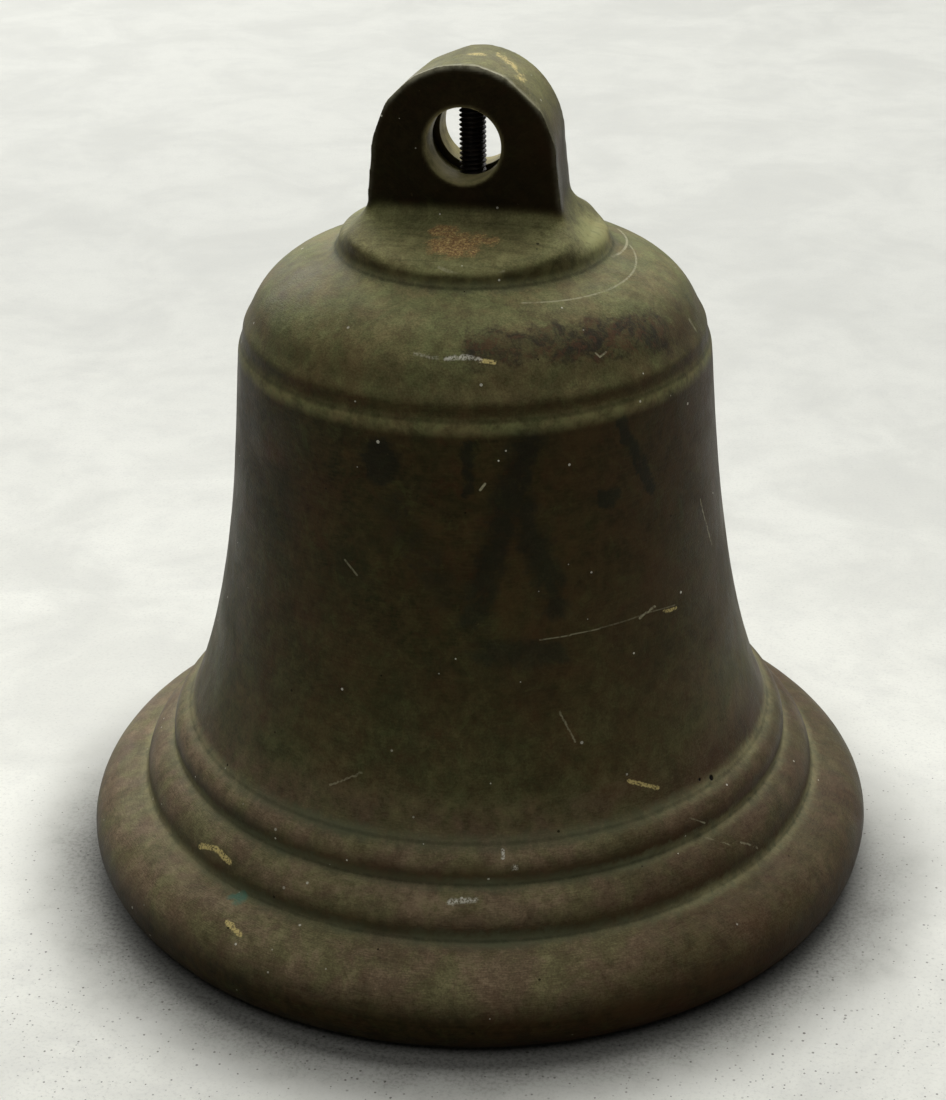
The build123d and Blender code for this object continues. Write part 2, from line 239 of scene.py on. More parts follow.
def revolve_ring(profile, segs):
    """Closed (r, z) profile turned about the Z axis, in quads, with no pole."""
    n = len(profile)
    pr = np.array(profile, float)
    th = np.arange(segs) * 2 * math.pi / segs
    v = np.zeros((segs, n, 3))
    v[:, :, 0] = np.cos(th)[:, None] * pr[None, :, 0]
    v[:, :, 1] = np.sin(th)[:, None] * pr[None, :, 0]
    v[:, :, 2] = pr[None, :, 1]
    faces = []
    for i in range(segs):
        k = (i + 1) % segs
        for j in range(n):
            m = (j + 1) % n
            faces.append((i * n + j, k * n + j, k * n + m, i * n + m))
    return v.reshape(-1, 3), faces


def resample(pts, step):
    """Points about step apart along a line through pts, ends kept."""
    p = np.array(pts, float)
    d = np.hypot(*np.diff(p, axis=0).T)
    s = np.concatenate([[0], np.cumsum(d)])
    n = max(1, int(round(s[-1] / step)))
    t = np.linspace(0, s[-1], n + 1)
    return [(float(np.interp(x, s, p[:, 0])), float(np.interp(x, s, p[:, 1]))) for x in t]


def arc3(a, b, c, n=40):
    """Arc from a through b to c."""
    ax, ay, bx, by, cx, cy = *a, *b, *c
    d = 2 * (ax * (by - cy) + bx * (cy - ay) + cx * (ay - by))
    ux = ((ax * ax + ay * ay) * (by - cy) + (bx * bx + by * by) * (cy - ay) + (cx * cx + cy * cy) * (ay - by)) / d
    uy = ((ax * ax + ay * ay) * (cx - bx) + (bx * bx + by * by) * (ax - cx) + (cx * cx + cy * cy) * (bx - ax)) / d
    r = math.hypot(ax - ux, ay - uy)
    t0, t1, t2 = (math.atan2(p[1] - uy, p[0] - ux) for p in (a, b, c))
    while t1 < t0: t1 += 2 * math.pi
    while t2 < t1: t2 += 2 * math.pi
    if t2 - t0 > 2 * math.pi:
        t0, t1, t2 = (math.atan2(p[1] - uy, p[0] - ux) for p in (a, b, c))
        while t1 > t0: t1 -= 2 * math.pi
        while t2 > t1: t2 -= 2 * math.pi
    return [(ux + r * math.cos(t0 + (t2 - t0) * i / n), uy + r * math.sin(t0 + (t2 - t0) * i / n)) for i in range(n + 1)]


# =====================================================================
#  the casting's own numbers, in millimetres, as in the CAD part
# =====================================================================
LIP_R, ROLL_R, ROLL_Z = 127.0, 15.2, 12.9
FOOT_IN = 104.5
C1, C2, C3 = (108.6, 29.2), (98.6, 42.0), (93.3, 52.5)
LOW_BULGE, UP_BULGE = 3.3, 2.7
WAIST_TOP = (71.6, 174.1)
CROWN_Z, SHOULDER_Z0, SHOULDER_EXP = 205.3, 163.9, 3.19
BOSS_R, BOSS_EDGE_R, BOSS_Z = 40.3, 3.6, 209.6
INNER = [(101.5, 12.0), (96.3, 27.0), (88.6, 41.0), (83.8, 53.0), (77.2, 76.0), (71.2, 105.0), (66.6, 140.0),
         (64.3, 165.0), (60.3, 180.5), (50.0, 190.4), (34.0, 194.2), (22.0, 194.9)]
BORE_Z, BORE_R, GROOVE_R, GROOVE_HALF = 236.9, 11.0, 13.3, 4.6
HALF_T = 14.0


def bead_mid(a, b, bulge):
    nx, nz = b[1] - a[1], -(b[0] - a[0])
    n = math.hypot(nx, nz)
    return ((a[0] + b[0]) / 2 + nx / n * bulge, (a[1] + b[1]) / 2 + nz / n * bulge)


def waist(n):
    (r3, z3), (r4, z4) = C3, WAIST_TOP
    a = r3 - r4 + 0.03 * (z3 - z4)
    lam = a / (-0.03 + 0.39)
    e1 = math.exp(-(z4 - z3) / lam)
    out = []
    for i in range(n + 1):
        z = z3 + (z4 - z3) * (i / n) ** 1.2
        e = math.exp(-(z - z3) / lam)
        out.append((r4 - 0.03 * (z - z4) + a * (e - e1) / (1 - e1), z))
    return out


def shoulder(n):
    rs, z5 = WAIST_TOP[0] - 1.6, WAIST_TOP[1] + 1.0
    out = []
    for i in range(n + 1):
        t = math.radians(8 + 80 * i / n)
        r = rs * math.cos(t) ** (2 / SHOULDER_EXP)
        z = SHOULDER_Z0 + (CROWN_Z - SHOULDER_Z0) * math.sin(t) ** (2 / SHOULDER_EXP)
        if z > z5 + 1.2 and r > BOSS_R + 1.2:
            out.append((r, z))
    return [(rs, z5)] + out


def spline_through(pts, step):
    """Smooth line through points, by centripetal Catmull-Rom."""
    p = [np.array(q, float) for q in pts]
    p = [2 * p[0] - p[1]] + p + [2 * p[-1] - p[-2]]
    out = []
    for i in range(1, len(p) - 2):
        p0, p1, p2, p3 = p[i - 1:i + 3]
        t0 = 0.0
        t1 = t0 + np.linalg.norm(p1 - p0) ** 0.5
        t2 = t1 + np.linalg.norm(p2 - p1) ** 0.5
        t3 = t2 + np.linalg.norm(p3 - p2) ** 0.5
        for k in range(12):
            t = t1 + (t2 - t1) * k / 12
            a1 = (t1 - t) / (t1 - t0) * p0 + (t - t0) / (t1 - t0) * p1
            a2 = (t2 - t) / (t2 - t1) * p1 + (t - t1) / (t2 - t1) * p2
            a3 = (t3 - t) / (t3 - t2) * p2 + (t - t2) / (t3 - t2) * p3
            b1 = (t2 - t) / (t2 - t0) * a1 + (t - t0) / (t2 - t0) * a2
            b2 = (t3 - t) / (t3 - t1) * a2 + (t - t1) / (t3 - t1) * a3
            out.append(tuple((t2 - t) / (t2 - t1) * b1 + (t - t1) / (t2 - t1) * b2))
    out.append(tuple(p[-2]))
    return resample(out, step)


def soften(line, fixed, passes=1, share=0.5):
    """Rounds the corners of a line of points a little."""
    p = np.array(line, float)
    for _ in range(passes):
        q = p.copy()
        q[1:-1] = (1 - share) * p[1:-1] + share * 0.5 * (p[:-2] + p[2:])
        p = np.where(np.array(fixed)[:, None], p, q)
    return [tuple(x) for x in p]


# =====================================================================
#  bell wall: one turned ring of fine quads, inside and out
# =====================================================================
roll_c = LIP_R - ROLL_R
foot_out = roll_c + math.sqrt(ROLL_R ** 2 - ROLL_Z ** 2)
a0 = math.atan2(-ROLL_Z, foot_out - roll_c)
roll = [(roll_c + ROLL_R * math.cos(a0 + (math.radians(72) - a0) * i / 40),
         ROLL_Z + ROLL_R * math.sin(a0 + (math.radians(72) - a0) * i / 40)) for i in range(41)]
bead_low = arc3(C1, bead_mid(C1, C2, LOW_BULGE), C2)
bead_up = arc3(C2, bead_mid(C2, C3, UP_BULGE), C3)
boss_side = [(BOSS_R + 0.25, 203.2), (BOSS_R, BOSS_Z - BOSS_EDGE_R)]
boss_roll = [(BOSS_R - BOSS_EDGE_R + BOSS_EDGE_R * math.cos(t), BOSS_Z - BOSS_EDGE_R + BOSS_EDGE_R * math.sin(t))
             for t in np.linspace(0, math.pi / 2, 9)]
outer = resample(roll, 1.5)
outer += resample([outer[-1], C1], 1.2)[1:]
outer += resample(bead_low, 0.85)[1:]
outer += resample(bead_up, 0.8)[1:]
outer += resample(waist(60), 1.7)[1:]
ledge = [(71.68, 171.8), (71.62, 173.1), (71.42, 174.2), (71.02, 175.2), (70.55, 176.3), (70.2, 177.6), (69.98, 179.2), (69.82, 181.0)]
while outer[-1][1] > 170.6:
    outer.pop()
outer += spline_through(ledge, 0.75)
outer += resample([ledge[-1]] + [q for q in shoulder(80) if q[1] > 182.6] + [boss_side[0]], 1.4)[1:]
outer += resample(boss_side, 0.8)[1:] + boss_roll[1:]
outer = soften(outer, [i == 0 for i in range(len(outer))], passes=4, share=0.45)
top = [(33.0, BOSS_Z), (26.0, BOSS_Z - 1), (14.0, BOSS_Z - 1.5), (4.0, BOSS_Z - 1.5), (4.0, 202.0), (4.0, 195.5)]
inner = [(9.0, 195.5), (16.0, 195.5), (16.0, 194.95)] + spline_through(INNER[::-1], 3.6)
inner += [(103.2, 6.5), (104.2, 3.0), (104.5, 1.6), (105.1, 0.45), (106.1, 0.0)]
foot = [(110.0, 0.0), (115.0, 0.0)]
profile = outer + top + inner + foot
SEGS = 248
wall_v, wall_f = revolve_ring(profile, SEGS)
wall = new_object("bell_wall", wall_v, wall_f)


# =====================================================================
#  lug and flare: drafted tab on a squarish-to-round foot, softened
# =====================================================================
def superellipse(a, b, n, count):
    out = []
    for i in range(count):
        t = 2 * math.pi * i / count
        c, q = math.cos(t), math.sin(t)
        k = (abs(c / a) ** n + abs(q / b) ** n) ** (-1 / n)
        out.append((k * c, k * q))
    return out


flare = [(205.0, 40.3, 40.6, 2.0), (206.2, 40.25, 40.65, 2.0), (207.2, 39.6, 40.3, 2.05), (208.1, 38.5, 39.5, 2.2),
         (208.9, 37.2, 38.2, 2.5), (209.6, 36.1, 36.1, 2.9), (210.3, 35.2, 33.4, 3.4), (211.0, 34.3, 30.6, 3.9),
         (211.8, 33.5, 27.5, 4.6), (212.8, 32.6, 24.0, 5.6), (213.9, 31.7, 20.6, 7.0), (215.2, 30.8, 17.4, 9.5),
         (216.6, 30.0, 15.2, 13.0), (218.2, 29.3, 14.1, 16.0), (220.0, 28.7, 13.7, 20.0), (222.0, 28.2, 13.4, 20.0),
         (223.2, 27.4, 12.8, 20.0)]
draft_x, draft_z = math.tan(math.radians(4.8)), math.tan(math.radians(2.0))
fv, ff = [], []
N = 200
for z, a, b, n in flare:
    like_tab = min(max((z - 207.0) / 11.0, 0.0), 1.0)
    fv += [(x * (1 - like_tab * draft_x * (y + HALF_T) / 27.2), y, z) for x, y in superellipse(a, b, n, N)]
for k in range(len(flare) - 1):
    for i in range(N):
        j = (i + 1) % N
        ff.append((k * N + i, k * N + j, (k + 1) * N + j, (k + 1) * N + i))
ff.append(tuple(range(N))[::-1])
ff.append(tuple((len(flare) - 1) * N + i for i in range(N)))
base = len(fv)

ARCH_R, ARCH_Z, FOOT_HALF, FOOT_Z = 27.2, 233.4, 30.6, 203.4
outline = [(-FOOT_HALF, FOOT_Z)] + [(ARCH_R * math.cos(t), ARCH_Z + ARCH_R * math.sin(t))
                                    for t in np.linspace(math.pi, 0, 61)] + [(FOOT_HALF, FOOT_Z)]
M = len(outline)
for y in (-HALF_T, HALF_T):
    for x, z in outline:
        cz = z if z < ARCH_Z else ARCH_Z + (z - ARCH_Z) * (1 - draft_z * (y + HALF_T) / ARCH_R)
        fv.append((x * (1 - draft_x * (y + HALF_T) / ARCH_R), y, cz))
for i in range(M):
    j = (i + 1) % M
    ff.append((base + i, base + j, base + M + j, base + M + i))
ff.append(tuple(base + i for i in range(M))[::-1])
ff.append(tuple(base + M + i for i in range(M)))
lug = new_object("lug", fv, ff)
bpy.context.view_layer.objects.active = lug
rem = lug.modifiers.new("remesh", "REMESH")
rem.mode = "VOXEL"
rem.voxel_size = 0.66
sm = lug.modifiers.new("smooth", "SMOOTH")
sm.factor = 0.5
sm.iterations = 2
apply_modifiers(lug)

# hand-dressed flats and wear on the lug, as plane cuts that the surface is pressed back to
co = np.zeros(len(lug.data.vertices) * 3)
lug.data.vertices.foreach_get("co", co)
co = co.reshape(-1, 3)


def press(co, normal, point, soft=0.25):
    n = np.array(normal, float)
    n /= np.linalg.norm(n)
    d = (co - np.array(point, float)) @ n
    # soft-max keeps the border of the flat rounded
    cut = soft * np.log1p(np.exp(np.clip(d / soft, -30, 30)))
    return co - n[None, :] * cut[:, None]


def arch_point(deg, depth):
    t = math.radians(deg)
    return ((ARCH_R - depth) * math.cos(t), -HALF_T, ARCH_Z + (ARCH_R - depth) * math.sin(t))


# (direction round the arch, depth at the front edge, lean to the front)
for deg, depth, lean in ((48, 1.25, -0.22), (70, 0.45, 0.0), (159, 0.65, -0.05), (133, 0.5, 0.0), (22, 0.55, -0.04),
                         (96, 0.3, 0.03), (112, 0.3, 0.06)):
    t = math.radians(deg)
    co = press(co, (math.cos(t), lean, math.sin(t)), arch_point(deg, depth), 0.16)
lug.data.vertices.foreach_set("co", co.ravel())
lug.data.update()


def turned_about_y(profile_yr, cz, segs):
    """Closed solid of revolution about the line x=0, z=cz, from (y, r) points."""
    v, f = [], []
    for y, r in profile_yr:
        for i in range(segs):
            t = 2 * math.pi * i / segs
            v.append((r * math.cos(t), y, cz + r * math.sin(t)))
    n = len(profile_yr)
    for k in range(n - 1):
        for i in range(segs):
            j = (i + 1) % segs
            f.append((k * segs + i, (k + 1) * segs + i, (k + 1) * segs + j, k * segs + j))
    f.append(tuple(range(segs)))
    f.append(tuple((n - 1) * segs + i for i in range(segs))[::-1])
    return v, f


bore_profile = [(-18, 12.0), (-14.3, 12.0), (-13.75, 11.35), (-13.1, 11.02), (-8.0, 11.0), (-4.6, 11.0), (-4.45, 11.2), (-4.3, 13.1),
                (-3.9, 13.3), (3.9, 13.3), (4.3, 13.1), (4.45, 11.2), (4.6, 11.0), (8.0, 11.0), (13.1, 11.02), (13.75, 11.35),
                (14.3, 12.0), (18, 12.0)]
cv, cf = turned_about_y(bore_profile, BORE_Z, 112)
cutter = new_object("bore_cutter", cv, cf)


def boolean(target, tool, op):
    mod = target.modifiers.new("bool", "BOOLEAN")
    mod.operation = op
    mod.solver = "EXACT"
    mod.object = tool
    apply_modifiers(target)
    bpy.data.objects.remove(tool, do_unlink=True)


# the crease over the flare is a soft fillet, softer to the left, as are the corners that run down into the boss
ed = np.zeros(len(lug.data.edges) * 2, int)
lug.data.edges.foreach_get("vertices", ed)
ed = ed.reshape(-1, 2)
near = np.exp(-((co[:, 2] - 217.0) / 3.4) ** 2) * np.clip((34 - co[:, 0]) / 40, 0.45, 1)
low = np.clip((216 - co[:, 2]) / 4, 0, 1)
weight = np.clip(np.maximum(near, low * 0.9), 0, 1)[:, None]
count = np.zeros(len(co))
np.add.at(count, ed[:, 0], 1)
np.add.at(count, ed[:, 1], 1)
for _ in range(14):
    total = np.zeros_like(co)
    np.add.at(total, ed[:, 0], co[ed[:, 1]])
    np.add.at(total, ed[:, 1], co[ed[:, 0]])
    co = co + weight * 0.6 * (total / np.maximum(count, 1)[:, None] - co)
lug.data.vertices.foreach_set("co", co.ravel())
lug.data.update()
boolean(lug, cutter, "DIFFERENCE")
boolean(wall, lug, "UNION")
bell = wall
bell.name = "bell_skin"


def relax(o, weight, rounds):
    """Evens out a mesh where weight says, by moving points to their neighbours' mean."""
    c = np.zeros(len(o.data.vertices) * 3)
    o.data.vertices.foreach_get("co", c)
    c = c.reshape(-1, 3)
    e = np.zeros(len(o.data.edges) * 2, int)
    o.data.edges.foreach_get("vertices", e)
    e = e.reshape(-1, 2)
    k = weight(c)[:, None]
    n = np.zeros(len(c))
    np.add.at(n, e[:, 0], 1)
    np.add.at(n, e[:, 1], 1)
    for _ in range(rounds):
        total = np.zeros_like(c)
        np.add.at(total, e[:, 0], c[e[:, 1]])
        np.add.at(total, e[:, 1], c[e[:, 0]])
        c = c + k * 0.6 * (total / np.maximum(n, 1)[:, None] - c)
    o.data.vertices.foreach_set("co", c.ravel())
    o.data.update()


relax(bell, lambda c: np.exp(-((c[:, 2] - 208.3) / 2.6) ** 2) * (np.hypot(c[:, 0], c[:, 1]) > 30), 8)
relax(bell, lambda c: np.exp(-((c[:, 2] - 204.4) / 1.8) ** 2) * (np.hypot(c[:, 0], c[:, 1]) > 36), 14)

# ---- vertex data, in millimetres ------------------------------------
me = bell.data
nv = len(me.vertices)
co = np.zeros(nv * 3)
me.vertices.foreach_get("co", co)
co = co.reshape(-1, 3)
nrm = np.zeros(nv * 3)
me.vertices.foreach_get("normal", nrm)
nrm = nrm.reshape(-1, 3)


def lattice_noise(p, cell, seed):
    """Smooth value noise on a seeded lattice, -1 to 1."""
    rng = np.random.RandomState(seed)
    table = rng.uniform(-1, 1, (64, 64, 64))
    q = p / cell + 1000.5
    i = np.floor(q).astype(int)
    f = q - i
    f = f * f * f * (f * (f * 6 - 15) + 10)
    out = 0
    for dx in (0, 1):
        for dy in (0, 1):
            for dz in (0, 1):
                w = (f[:, 0] if dx else 1 - f[:, 0]) * (f[:, 1] if dy else 1 - f[:, 1]) * (f[:, 2] if dz else 1 - f[:, 2])
                out = out + w * table[(i[:, 0] + dx) % 64, (i[:, 1] + dy) % 64, (i[:, 2] + dz) % 64]
    return out


rad = np.hypot(co[:, 0], co[:, 1])
outline_r = np.array([p[0] for p in INNER]), np.array([p[1] for p in INNER])
inner_r_at_z = np.interp(co[:, 2], outline_r[1], outline_r[0])
inside = (rad < inner_r_at_z + 0.9) & (co[:, 2] < 196.0)
inside |= (rad < 105.5) & (co[:, 2] < 14)
wave = 0.16 * lattice_noise(co, 46.0, 3) + 0.07 * lattice_noise(co, 17.0, 5) + 0.025 * lattice_noise(co, 5.5, 8)
keep = np.clip((co[:, 2] - 0.5) / 3.0, 0, 1)          # the flat rim stays flat
bore_d = np.hypot(co[:, 0], co[:, 2] - BORE_Z)
keep = keep * np.clip((bore_d - 11.6) / 4.0, 0.15, 1)
in_lug = co[:, 2] > 222
wave = np.where(in_lug, wave * 0.6, wave)
wave = np.where(inside, wave * 1.5, wave)
co2 = co + nrm * (wave * keep)[:, None]


def dent(co, base, centre, normal, radius, depth):
    """A shallow knock."""
    d = np.linalg.norm(base - np.array(centre, float), axis=1)
    n = np.array(normal, float)
    n /= np.linalg.norm(n)
    return co - n[None, :] * (depth * np.exp(-(d / radius) ** 2))[:, None]


# stay inside the model's box
lo, hi = -126.98, 126.98
co2[:, 0] = np.clip(co2[:, 0], lo, hi)
co2[:, 1] = np.clip(co2[:, 1], lo, hi)
co2[:, 2] = np.clip(co2[:, 2], 0.0, 260.5)
me.vertices.foreach_set("co", (co2 * MM).ravel())
att = me.attributes.new("inner", "FLOAT", "POINT")
att.data.foreach_set("value", inside.astype(np.float32))
# the pale line along the lug's front edge: wear, and a painted highlight where the rounded edge catches the light
arch_d = np.hypot(co[:, 0], np.maximum(co[:, 2] - ARCH_Z, 0))
edge_out = np.where(co[:, 2] > ARCH_Z, ARCH_R - arch_d, (ARCH_R + (ARCH_Z - co[:, 2]) * 0.1133) - np.abs(co[:, 0]))
edge = np.exp(-((edge_out - 0.5) / 0.8) ** 2) * np.exp(-((co[:, 1] + 13.6) / 0.8) ** 2) * (co[:, 2] > 218)
att = me.attributes.new("edge", "FLOAT", "POINT")
att.data.foreach_set("value", edge.astype(np.float32))
bore = np.clip((12.3 - bore_d) / 0.9, 0, 1) * (np.abs(co[:, 1]) < 14.4) * (co[:, 2] > 222)
att = me.attributes.new("bore", "FLOAT", "POINT")
att.data.foreach_set("value", bore.astype(np.float32))
for p in me.polygons:
    p.use_smooth = True
me.update()
tri_count = sum(len(p.vertices) - 2 for p in me.polygons)
print("bell_skin tris", tri_count)
with bpy.context.temp_override(object=bell, active_object=bell, selected_objects=[bell], selected_editable_objects=[bell]):
    bpy.ops.object.shade_smooth_by_angle(angle=math.radians(48))
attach(bell, "bell")
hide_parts("bell_casting")


# =====================================================================
#  stud with a real thread, 18 to the inch
# =====================================================================
def threaded_rod(name, r_major, pitch, z0, z1, around=28, per_turn=8, chamfer=1.0, wear=0.0):
    r_minor = r_major - 0.58 * pitch
    rows = int((z1 - z0) / pitch * per_turn)
    v, f = [], []
    for k in range(rows + 1):
        z = z0 + (z1 - z0) * k / rows
        for i in range(around):
            t = 2 * math.pi * i / around
            ph = ((z - z0) / pitch - i / around) % 1.0
            tri = 1 - abs(2 * ph - 1)
            h = min(max((tri - 0.10) / 0.76, 0.0), 1.0)
            r = r_minor + (r_major - r_minor) * h
            r = min(r, r_major - max(0, chamfer - (z - z0)) * 0.8, r_major - max(0, chamfer - (z1 - z)) * 0.8)
            v.append((r * math.cos(t) * MM, r * math.sin(t) * MM, z * MM))
    for k in range(rows):
        for i in range(around):
            j = (i + 1) % around
            f.append((k * around + i, k * around + j, (k + 1) * around + j, (k + 1) * around + i))
    f.append(tuple(range(around))[::-1])
    f.append(tuple(rows * around + i for i in range(around)))
    o = new_object(name, v, f)
    for p in o.data.polygons:
        p.use_smooth = True
    with bpy.context.temp_override(object=o, active_object=o, selected_objects=[o], selected_editable_objects=[o]):
        bpy.ops.object.shade_smooth_by_angle(angle=math.radians(40))
    return o


stud = threaded_rod("stud_thread", 3.97, 25.4 / 18, 164.6, 251.5)
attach(stud, "bell")
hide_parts("threaded_stud")


# =====================================================================
#  materials
# =====================================================================
def bell_patina_and_painted_light():
    g = Nodes("bell_patina_and_painted_light")
    b = g.bsdf
    P = g.vmath("SCALE", g.pos, scale=1000.0)            # millimetres
    sep = g.n("ShaderNodeSeparateXYZ")
    g.put(sep.inputs[0], P)
    x, y, z = sep.outputs
    r = g.math("SQRT", g.add(g.mul(x, x), g.mul(y, y)))
    geo = g.n("ShaderNodeNewGeometry")
    nsep = g.n("ShaderNodeSeparateXYZ")
    g.put(nsep.inputs[0], geo.outputs["Normal"])
    nz = nsep.outputs[2]

    # coordinate that is long around the bell and short across it, for turned and wiped marks
    turn = g.n("ShaderNodeCombineXYZ")
    g.put(turn.inputs[0], g.math("DIVIDE", g.mul(x, 60.0), g.add(r, 8.0)))
    g.put(turn.inputs[1], g.math("DIVIDE", g.mul(y, 60.0), g.add(r, 8.0)))
    g.put(turn.inputs[2], g.mul(g.sub(z, r), 7.0))
    streak = g.noise(turn.outputs[0], 0.22, 4, 0.6)
    streak_fine = g.noise(turn.outputs[0], 0.7, 3, 0.6)

    big = g.noise(P, 0.016, 3, 0.55, 0.4)
    mid = g.noise(P, 0.055, 4, 0.6, 0.6)
    warm = g.noise(g.vmath("ADD", P, (310, 20, 90)), 0.06, 6, 0.72, 0.5)
    small = g.noise(g.vmath("ADD", P, (70, 220, 10)), 0.22, 5, 0.7, 0.3)
    fine = g.noise(P, 0.55, 4, 0.7)
    grain = g.noise(P, 1.7, 2, 0.6)
    ragged = g.vmath("ADD", P, g.vmath("SCALE", g.vmath("SUBTRACT", g.noise(P, 0.16, 4, 0.65, colour=True), (0.5, 0.5, 0.5)), scale=9.0))
    shaky = g.vmath("ADD", P, g.vmath("SCALE", g.vmath("SUBTRACT", g.noise(P, 0.5, 2, 0.6, colour=True), (0.5, 0.5, 0.5)), scale=1.5))

    # ground colour: green black, olive brown, red brown
    col = g.ramp(warm, [(0.28, srgb(20, 24, 12)), (0.44, srgb(32, 29, 15)), (0.55, srgb(38, 29, 16)), (0.70, srgb(52, 27, 18))])
    col = g.mix(g.step(mid, 0.42, 0.66, 0, 0.7), col, srgb(20, 20, 12))
    col = g.mix(g.step(small, 0.42, 0.70, 0.0, 0.55), col, srgb(60, 50, 28))
    col = g.mix(g.step(fine, 0.40, 0.72, 0.0, 0.45), col, srgb(66, 50, 32))
    col = g.mix(g.step(streak, 0.42, 0.66, 0.0, 0.35), col, srgb(60, 51, 29))

    # cloudy patches of brown, olive and black at hand size down to a few millimetres
    cloud = g.noise(g.vmath("ADD", P, (5, 140, 60)), 0.034, 7, 0.74, 0.9)
    col = g.mix(g.step(cloud, 0.36, 0.48, 0.55, 0.0), col, srgb(26, 27, 17))
    col = g.mix(g.step(cloud, 0.52, 0.66, 0.0, 0.5), col, srgb(66, 47, 28))
    mottle = g.noise(g.vmath("ADD", P, (41, 14, 260)), 0.14, 7, 0.78, 0.7)
    col = g.mix(g.step(mottle, 0.53, 0.66, 0.0, 0.45), col, srgb(58, 62, 34))
    col = g.mix(g.step(mottle, 0.34, 0.45, 0.5, 0.0), col, srgb(52, 28, 20))

    # redder to the right; the lug's front face darkened to nearly black as painted shade, for the little light that
    # falls on it
    col = g.mix(g.mul(g.step(x, -10, 70, 0.0, 0.5), g.step(small, 0.3, 0.65, 0.3, 1.0)), col, srgb(54, 34, 20))
    col = g.mix(g.mul(g.step(y, -8.0, -13.0, 0, 0.72), g.step(z, 217.0, 221.0, 0, 1)), col, srgb(14, 9, 5))

    # blue black stains under the ledge
    stain = g.most([
        g.spot(ragged, (-11.5, -71.5, 163.0), (9, 9, 12)),
        g.line(ragged, (13.5, -71.3, 168.0), (13.0, -72.0, 155.0), 4.0, 0.8),
        g.line(ragged, (29.0, -66.0, 170.0), (24.0, -69.5, 150.0), 11.0, 0.95),
        g.line(ragged, (24.0, -69.5, 150.0), (15.0, -75.0, 118.0), 10.0, 0.95),
        g.line(ragged, (28.0, -68.0, 150.0), (37.0, -66.0, 120.0), 10.0, 0.95),
        g.line(ragged, (20.0, -76.0, 108.0), (38.0, -70.0, 106.0), 10.0, 0.95),
        g.mul(g.line(ragged, (-8.0, -73.0, 150.0), (8.0, -75.0, 125.0), 13.0, 0.95), 0.7),
        g.line(ragged, (52.5, -49.0, 170.0), (60.5, -41.8, 147.0), 4.2, 0.7),
        g.spot(ragged, (49.5, -54.0, 148.5), (6, 6, 5)),
    ])
    stain = g.step(g.add(g.add(stain, g.mul(g.sub(small, 0.5), 1.5)), g.mul(g.sub(fine, 0.5), 0.9)), 0.35, 1.05, 0, 1)
    col = g.mix(g.mul(stain, 0.85), col, srgb(14, 17, 17))

    # thin pale dust film on what faces up, which is also painted top light, paler where light from above falls
    dust_film_and_painted_light = g.step(nz, -0.05, 0.85, 0.0, 1.0)
    blotch = g.noise(P, 0.045, 6, 0.68, 0.4)
    dust_film_and_painted_light = g.mul(dust_film_and_painted_light, g.step(blotch, 0.25, 0.72, 0.58, 0.96))
    low = g.step(z, 72.0, 58.0, 0, 1)
    dust_film_and_painted_light = g.mul(dust_film_and_painted_light, g.step(g.mul(low, g.step(x, 20.0, 105.0, 0, 1)), 0.0, 1.0, 1.12, 0.45))
    dust_film_and_painted_light = g.mul(dust_film_and_painted_light, g.step(g.add(g.mul(low, g.sub(streak_fine, 0.5)), 0.5), 0.3, 0.7, 0.72, 1.28))
    dust_film_and_painted_light = g.mul(dust_film_and_painted_light, g.step(small, 0.25, 0.75, 0.72, 1.16))
    dust_film_and_painted_light = g.mul(dust_film_and_painted_light, g.step(mottle, 0.33, 0.66, 0.74, 1.2))
    dust_film_and_painted_light = g.mul(dust_film_and_painted_light, g.step(grain, 0.2, 0.8, 0.66, 1.22))
    patch = g.most([g.line(ragged, (15, -59, 193), (38, -49.5, 194), 11.0, 0.95), g.line(ragged, (38, -49.5, 194), (61, -27, 190), 13.0, 0.95)])
    patch = g.step(g.add(g.add(patch, g.mul(g.sub(small, 0.5), 1.6)), g.mul(g.sub(fine, 0.5), 0.9)), 0.2, 1.0, 0, 1)
    dust_film_and_painted_light = g.mul(dust_film_and_painted_light, g.step(patch, 0.0, 1.0, 1.0, 0.5))
    dust_film_and_painted_light = g.mul(dust_film_and_painted_light, g.step(g.mul(g.step(z, 177.0, 184.0, 0, 1), g.step(x, 54.0, 68.0, 0, 1)), 0.0, 1.0, 1.0, 0.62))
    rolls = g.mul(g.step(z, 31.0, 37.0, 0, 1), g.step(z, 68.0, 61.0, 0, 1))
    dust_film_and_painted_light = g.add(dust_film_and_painted_light, g.mul(g.mul(rolls, g.step(g.math("ABSOLUTE", x), 75.0, 25.0, 0, 1)), g.step(small, 0.25, 0.7, 0.05, 0.2)))
    # pale dust on the boss's right and the left shoulder, partly a painted highlight for light from the right and back
    dust_and_painted_highlight = g.most([g.spot(ragged, (37, -3, 210), (13, 20, 8), 0.9), g.mul(g.spot(ragged, (-44, 6, 200), (20, 28, 12), 0.9), 0.35)])
    dust_film_and_painted_light = g.add(dust_film_and_painted_light, g.mul(dust_and_painted_highlight, 0.95))
    # painted highlight: a pale band along the ledge, where light from above catches it
    band = g.mul(g.step(g.math("ABSOLUTE", g.sub(z, 173.9)), 3.4, 0.0, 0, 1), g.step(r, 68.0, 70.0, 0, 1))
    dust_film_and_painted_light = g.add(dust_film_and_painted_light, g.mul(g.mul(band, g.step(small, 0.3, 0.65, 0.3, 1.1)), 0.62))
